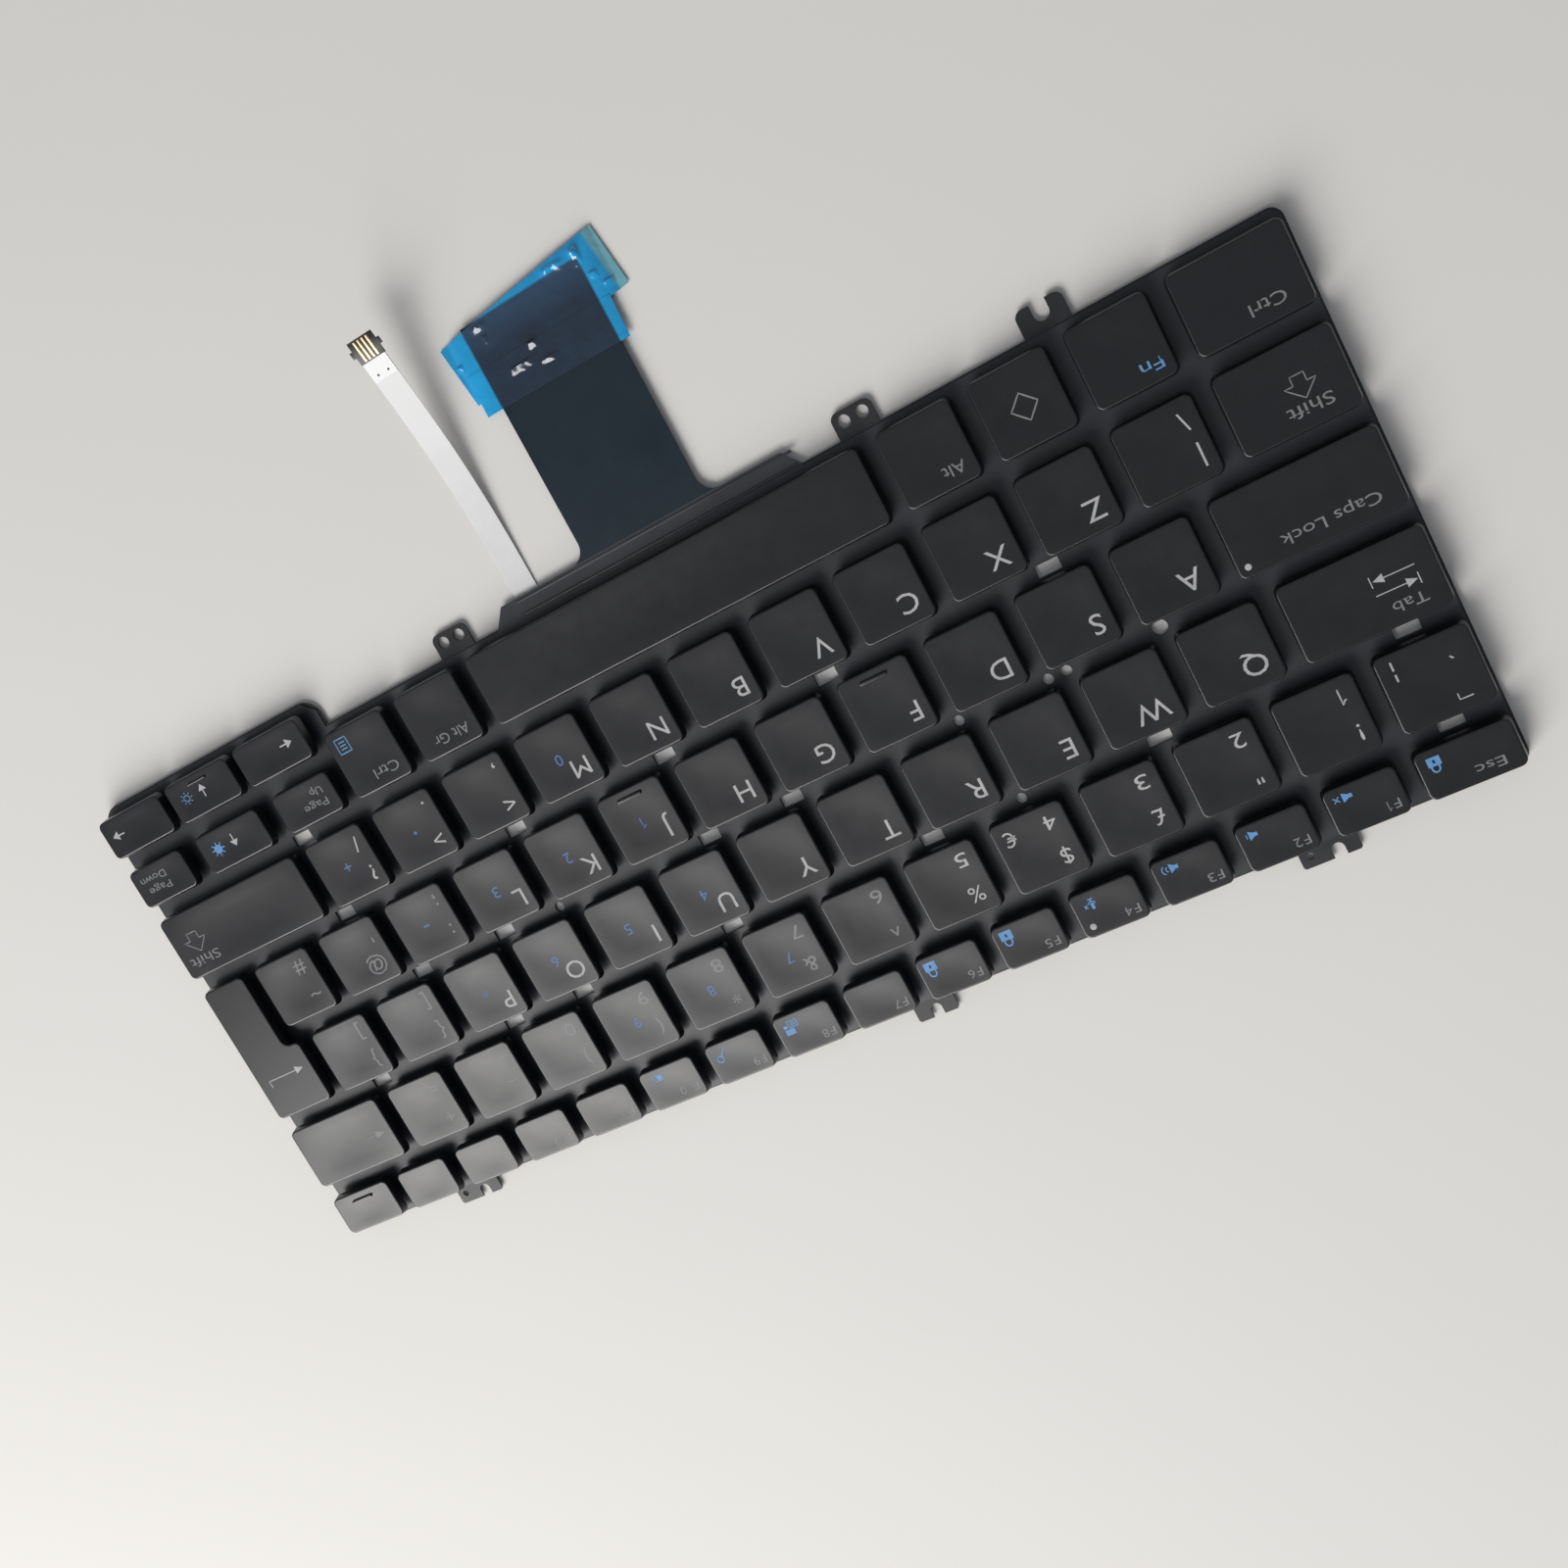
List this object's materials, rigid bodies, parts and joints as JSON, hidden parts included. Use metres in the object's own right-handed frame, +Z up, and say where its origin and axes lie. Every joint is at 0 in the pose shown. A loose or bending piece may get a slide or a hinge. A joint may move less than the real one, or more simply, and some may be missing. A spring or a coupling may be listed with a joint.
{
  "type": "laptop replacement keyboard",
  "caption": "Flat bare laptop keyboard module: black low keycaps on a thin steel plate with fixing tabs, a black contact tail with blue tape and a white ribbon cable.",
  "frame": {"origin": "centre of the underside of the main plate, on the surface that the keyboard lies on", "axes": "+X towards the right-hand keys, +Y towards the function row, +Z up through the caps"},
  "size_m": [0.2764, 0.1721, 0.0102],
  "materials": {
    "keycap": "fine matte moulded",
    "plate": "black coated steel sheet",
    "membrane": "satin black film",
    "panel_film": "white reflector film",
    "tape": "thin clear blue film",
    "ribbon": "satin white film",
    "ribbon_end": "satin black stiffener",
    "scissor": "moulded black acetal",
    "dome": "silicone rubber",
    "wire": "drawn wire"
  },
  "bodies": {
    "base": {"backlight_cable": "ribbon", "backlight_panel": "panel_film", "cable_end": "ribbon_end", "cursor_keys": "keycap", "function_row_keys": "keycap", "membrane": "membrane", "number_row_keys": "keycap", "rubber_domes": "dome", "scissor_links": "scissor", "support_plate": "plate", "tail_tape": "tape"},
    "key_a": {"key_a": "keycap"},
    "key_alt_gr": {"key_alt_gr": "keycap"},
    "key_apostrophe": {"key_apostrophe": "keycap"},
    "key_b": {"key_b": "keycap"},
    "key_backslash": {"key_backslash": "keycap"},
    "key_backspace": {"key_backspace": "keycap"},
    "key_c": {"key_c": "keycap"},
    "key_caps_lock": {"key_caps_lock": "keycap"},
    "key_comma": {"key_comma": "keycap"},
    "key_d": {"key_d": "keycap"},
    "key_e": {"key_e": "keycap"},
    "key_enter": {"key_enter": "keycap"},
    "key_f": {"key_f": "keycap"},
    "key_fn": {"key_fn": "keycap"},
    "key_g": {"key_g": "keycap"},
    "key_h": {"key_h": "keycap"},
    "key_hash": {"key_hash": "keycap"},
    "key_i": {"key_i": "keycap"},
    "key_j": {"key_j": "keycap"},
    "key_k": {"key_k": "keycap"},
    "key_l": {"key_l": "keycap"},
    "key_left_alt": {"key_left_alt": "keycap"},
    "key_left_bracket": {"key_left_bracket": "keycap"},
    "key_left_ctrl": {"key_left_ctrl": "keycap"},
    "key_left_shift": {"key_left_shift": "keycap"},
    "key_m": {"key_m": "keycap"},
    "key_n": {"key_n": "keycap"},
    "key_o": {"key_o": "keycap"},
    "key_p": {"key_p": "keycap"},
    "key_period": {"key_period": "keycap"},
    "key_q": {"key_q": "keycap"},
    "key_r": {"key_r": "keycap"},
    "key_right_bracket": {"key_right_bracket": "keycap"},
    "key_right_ctrl": {"key_right_ctrl": "keycap"},
    "key_right_shift": {"key_right_shift": "keycap"},
    "key_s": {"key_s": "keycap"},
    "key_semicolon": {"key_semicolon": "keycap"},
    "key_slash": {"key_slash": "keycap"},
    "key_space": {"key_space": "keycap", "space_stabiliser": "wire"},
    "key_super": {"key_super": "keycap"},
    "key_t": {"key_t": "keycap"},
    "key_tab": {"key_tab": "keycap"},
    "key_u": {"key_u": "keycap"},
    "key_v": {"key_v": "keycap"},
    "key_w": {"key_w": "keycap"},
    "key_x": {"key_x": "keycap"},
    "key_y": {"key_y": "keycap"},
    "key_z": {"key_z": "keycap"}
  },
  "joints": [
    {"name": "key_a_press", "type": "slide", "parent": "base", "child": "key_a", "axis": [0, 0, -1], "range_m": [0, 0.0016], "stiffness_N_per_m": 300, "deforming": ["rubber_domes", "scissor_links"]},
    {"name": "key_alt_gr_press", "type": "slide", "parent": "base", "child": "key_alt_gr", "axis": [0, 0, -1], "range_m": [0, 0.0016], "stiffness_N_per_m": 300, "deforming": ["rubber_domes", "scissor_links"]},
    {"name": "key_apostrophe_press", "type": "slide", "parent": "base", "child": "key_apostrophe", "axis": [0, 0, -1], "range_m": [0, 0.0016], "stiffness_N_per_m": 300, "deforming": ["rubber_domes", "scissor_links"]},
    {"name": "key_b_press", "type": "slide", "parent": "base", "child": "key_b", "axis": [0, 0, -1], "range_m": [0, 0.0016], "stiffness_N_per_m": 300, "deforming": ["rubber_domes", "scissor_links"]},
    {"name": "key_backslash_press", "type": "slide", "parent": "base", "child": "key_backslash", "axis": [0, 0, -1], "range_m": [0, 0.0016], "stiffness_N_per_m": 300, "deforming": ["rubber_domes", "scissor_links"]},
    {"name": "key_backspace_press", "type": "slide", "parent": "base", "child": "key_backspace", "axis": [0, 0, -1], "range_m": [0, 0.0016], "stiffness_N_per_m": 300, "deforming": ["rubber_domes", "scissor_links"]},
    {"name": "key_c_press", "type": "slide", "parent": "base", "child": "key_c", "axis": [0, 0, -1], "range_m": [0, 0.0016], "stiffness_N_per_m": 300, "deforming": ["rubber_domes", "scissor_links"]},
    {"name": "key_caps_lock_press", "type": "slide", "parent": "base", "child": "key_caps_lock", "axis": [0, 0, -1], "range_m": [0, 0.0016], "stiffness_N_per_m": 300, "deforming": ["rubber_domes", "scissor_links"]},
    {"name": "key_comma_press", "type": "slide", "parent": "base", "child": "key_comma", "axis": [0, 0, -1], "range_m": [0, 0.0016], "stiffness_N_per_m": 300, "deforming": ["rubber_domes", "scissor_links"]},
    {"name": "key_d_press", "type": "slide", "parent": "base", "child": "key_d", "axis": [0, 0, -1], "range_m": [0, 0.0016], "stiffness_N_per_m": 300, "deforming": ["rubber_domes", "scissor_links"]},
    {"name": "key_e_press", "type": "slide", "parent": "base", "child": "key_e", "axis": [0, 0, -1], "range_m": [0, 0.0016], "stiffness_N_per_m": 300, "deforming": ["rubber_domes", "scissor_links"]},
    {"name": "key_enter_press", "type": "slide", "parent": "base", "child": "key_enter", "axis": [0, 0, -1], "range_m": [0, 0.0016], "stiffness_N_per_m": 300, "deforming": ["rubber_domes", "scissor_links"]},
    {"name": "key_f_press", "type": "slide", "parent": "base", "child": "key_f", "axis": [0, 0, -1], "range_m": [0, 0.0016], "stiffness_N_per_m": 300, "deforming": ["rubber_domes", "scissor_links"]},
    {"name": "key_fn_press", "type": "slide", "parent": "base", "child": "key_fn", "axis": [0, 0, -1], "range_m": [0, 0.0016], "stiffness_N_per_m": 300, "deforming": ["rubber_domes", "scissor_links"]},
    {"name": "key_g_press", "type": "slide", "parent": "base", "child": "key_g", "axis": [0, 0, -1], "range_m": [0, 0.0016], "stiffness_N_per_m": 300, "deforming": ["rubber_domes", "scissor_links"]},
    {"name": "key_h_press", "type": "slide", "parent": "base", "child": "key_h", "axis": [0, 0, -1], "range_m": [0, 0.0016], "stiffness_N_per_m": 300, "deforming": ["rubber_domes", "scissor_links"]},
    {"name": "key_hash_press", "type": "slide", "parent": "base", "child": "key_hash", "axis": [0, 0, -1], "range_m": [0, 0.0016], "stiffness_N_per_m": 300, "deforming": ["rubber_domes", "scissor_links"]},
    {"name": "key_i_press", "type": "slide", "parent": "base", "child": "key_i", "axis": [0, 0, -1], "range_m": [0, 0.0016], "stiffness_N_per_m": 300, "deforming": ["rubber_domes", "scissor_links"]},
    {"name": "key_j_press", "type": "slide", "parent": "base", "child": "key_j", "axis": [0, 0, -1], "range_m": [0, 0.0016], "stiffness_N_per_m": 300, "deforming": ["rubber_domes", "scissor_links"]},
    {"name": "key_k_press", "type": "slide", "parent": "base", "child": "key_k", "axis": [0, 0, -1], "range_m": [0, 0.0016], "stiffness_N_per_m": 300, "deforming": ["rubber_domes", "scissor_links"]},
    {"name": "key_l_press", "type": "slide", "parent": "base", "child": "key_l", "axis": [0, 0, -1], "range_m": [0, 0.0016], "stiffness_N_per_m": 300, "deforming": ["rubber_domes", "scissor_links"]},
    {"name": "key_left_alt_press", "type": "slide", "parent": "base", "child": "key_left_alt", "axis": [0, 0, -1], "range_m": [0, 0.0016], "stiffness_N_per_m": 300, "deforming": ["rubber_domes", "scissor_links"]},
    {"name": "key_left_bracket_press", "type": "slide", "parent": "base", "child": "key_left_bracket", "axis": [0, 0, -1], "range_m": [0, 0.0016], "stiffness_N_per_m": 300, "deforming": ["rubber_domes", "scissor_links"]},
    {"name": "key_left_ctrl_press", "type": "slide", "parent": "base", "child": "key_left_ctrl", "axis": [0, 0, -1], "range_m": [0, 0.0016], "stiffness_N_per_m": 300, "deforming": ["rubber_domes", "scissor_links"]},
    {"name": "key_left_shift_press", "type": "slide", "parent": "base", "child": "key_left_shift", "axis": [0, 0, -1], "range_m": [0, 0.0016], "stiffness_N_per_m": 300, "deforming": ["rubber_domes", "scissor_links"]},
    {"name": "key_m_press", "type": "slide", "parent": "base", "child": "key_m", "axis": [0, 0, -1], "range_m": [0, 0.0016], "stiffness_N_per_m": 300, "deforming": ["rubber_domes", "scissor_links"]},
    {"name": "key_n_press", "type": "slide", "parent": "base", "child": "key_n", "axis": [0, 0, -1], "range_m": [0, 0.0016], "stiffness_N_per_m": 300, "deforming": ["rubber_domes", "scissor_links"]},
    {"name": "key_o_press", "type": "slide", "parent": "base", "child": "key_o", "axis": [0, 0, -1], "range_m": [0, 0.0016], "stiffness_N_per_m": 300, "deforming": ["rubber_domes", "scissor_links"]},
    {"name": "key_p_press", "type": "slide", "parent": "base", "child": "key_p", "axis": [0, 0, -1], "range_m": [0, 0.0016], "stiffness_N_per_m": 300, "deforming": ["rubber_domes", "scissor_links"]},
    {"name": "key_period_press", "type": "slide", "parent": "base", "child": "key_period", "axis": [0, 0, -1], "range_m": [0, 0.0016], "stiffness_N_per_m": 300, "deforming": ["rubber_domes", "scissor_links"]},
    {"name": "key_q_press", "type": "slide", "parent": "base", "child": "key_q", "axis": [0, 0, -1], "range_m": [0, 0.0016], "stiffness_N_per_m": 300, "deforming": ["rubber_domes", "scissor_links"]},
    {"name": "key_r_press", "type": "slide", "parent": "base", "child": "key_r", "axis": [0, 0, -1], "range_m": [0, 0.0016], "stiffness_N_per_m": 300, "deforming": ["rubber_domes", "scissor_links"]},
    {"name": "key_right_bracket_press", "type": "slide", "parent": "base", "child": "key_right_bracket", "axis": [0, 0, -1], "range_m": [0, 0.0016], "stiffness_N_per_m": 300, "deforming": ["rubber_domes", "scissor_links"]},
    {"name": "key_right_ctrl_press", "type": "slide", "parent": "base", "child": "key_right_ctrl", "axis": [0, 0, -1], "range_m": [0, 0.0016], "stiffness_N_per_m": 300, "deforming": ["rubber_domes", "scissor_links"]},
    {"name": "key_right_shift_press", "type": "slide", "parent": "base", "child": "key_right_shift", "axis": [0, 0, -1], "range_m": [0, 0.0016], "stiffness_N_per_m": 300, "deforming": ["rubber_domes", "scissor_links"]},
    {"name": "key_s_press", "type": "slide", "parent": "base", "child": "key_s", "axis": [0, 0, -1], "range_m": [0, 0.0016], "stiffness_N_per_m": 300, "deforming": ["rubber_domes", "scissor_links"]},
    {"name": "key_semicolon_press", "type": "slide", "parent": "base", "child": "key_semicolon", "axis": [0, 0, -1], "range_m": [0, 0.0016], "stiffness_N_per_m": 300, "deforming": ["rubber_domes", "scissor_links"]},
    {"name": "key_slash_press", "type": "slide", "parent": "base", "child": "key_slash", "axis": [0, 0, -1], "range_m": [0, 0.0016], "stiffness_N_per_m": 300, "deforming": ["rubber_domes", "scissor_links"]},
    {"name": "key_space_press", "type": "slide", "parent": "base", "child": "key_space", "axis": [0, 0, -1], "range_m": [0, 0.0016], "stiffness_N_per_m": 300, "deforming": ["rubber_domes", "scissor_links"]},
    {"name": "key_super_press", "type": "slide", "parent": "base", "child": "key_super", "axis": [0, 0, -1], "range_m": [0, 0.0016], "stiffness_N_per_m": 300, "deforming": ["rubber_domes", "scissor_links"]},
    {"name": "key_t_press", "type": "slide", "parent": "base", "child": "key_t", "axis": [0, 0, -1], "range_m": [0, 0.0016], "stiffness_N_per_m": 300, "deforming": ["rubber_domes", "scissor_links"]},
    {"name": "key_tab_press", "type": "slide", "parent": "base", "child": "key_tab", "axis": [0, 0, -1], "range_m": [0, 0.0016], "stiffness_N_per_m": 300, "deforming": ["rubber_domes", "scissor_links"]},
    {"name": "key_u_press", "type": "slide", "parent": "base", "child": "key_u", "axis": [0, 0, -1], "range_m": [0, 0.0016], "stiffness_N_per_m": 300, "deforming": ["rubber_domes", "scissor_links"]},
    {"name": "key_v_press", "type": "slide", "parent": "base", "child": "key_v", "axis": [0, 0, -1], "range_m": [0, 0.0016], "stiffness_N_per_m": 300, "deforming": ["rubber_domes", "scissor_links"]},
    {"name": "key_w_press", "type": "slide", "parent": "base", "child": "key_w", "axis": [0, 0, -1], "range_m": [0, 0.0016], "stiffness_N_per_m": 300, "deforming": ["rubber_domes", "scissor_links"]},
    {"name": "key_x_press", "type": "slide", "parent": "base", "child": "key_x", "axis": [0, 0, -1], "range_m": [0, 0.0016], "stiffness_N_per_m": 300, "deforming": ["rubber_domes", "scissor_links"]},
    {"name": "key_y_press", "type": "slide", "parent": "base", "child": "key_y", "axis": [0, 0, -1], "range_m": [0, 0.0016], "stiffness_N_per_m": 300, "deforming": ["rubber_domes", "scissor_links"]},
    {"name": "key_z_press", "type": "slide", "parent": "base", "child": "key_z", "axis": [0, 0, -1], "range_m": [0, 0.0016], "stiffness_N_per_m": 300, "deforming": ["rubber_domes", "scissor_links"]}
  ]
}
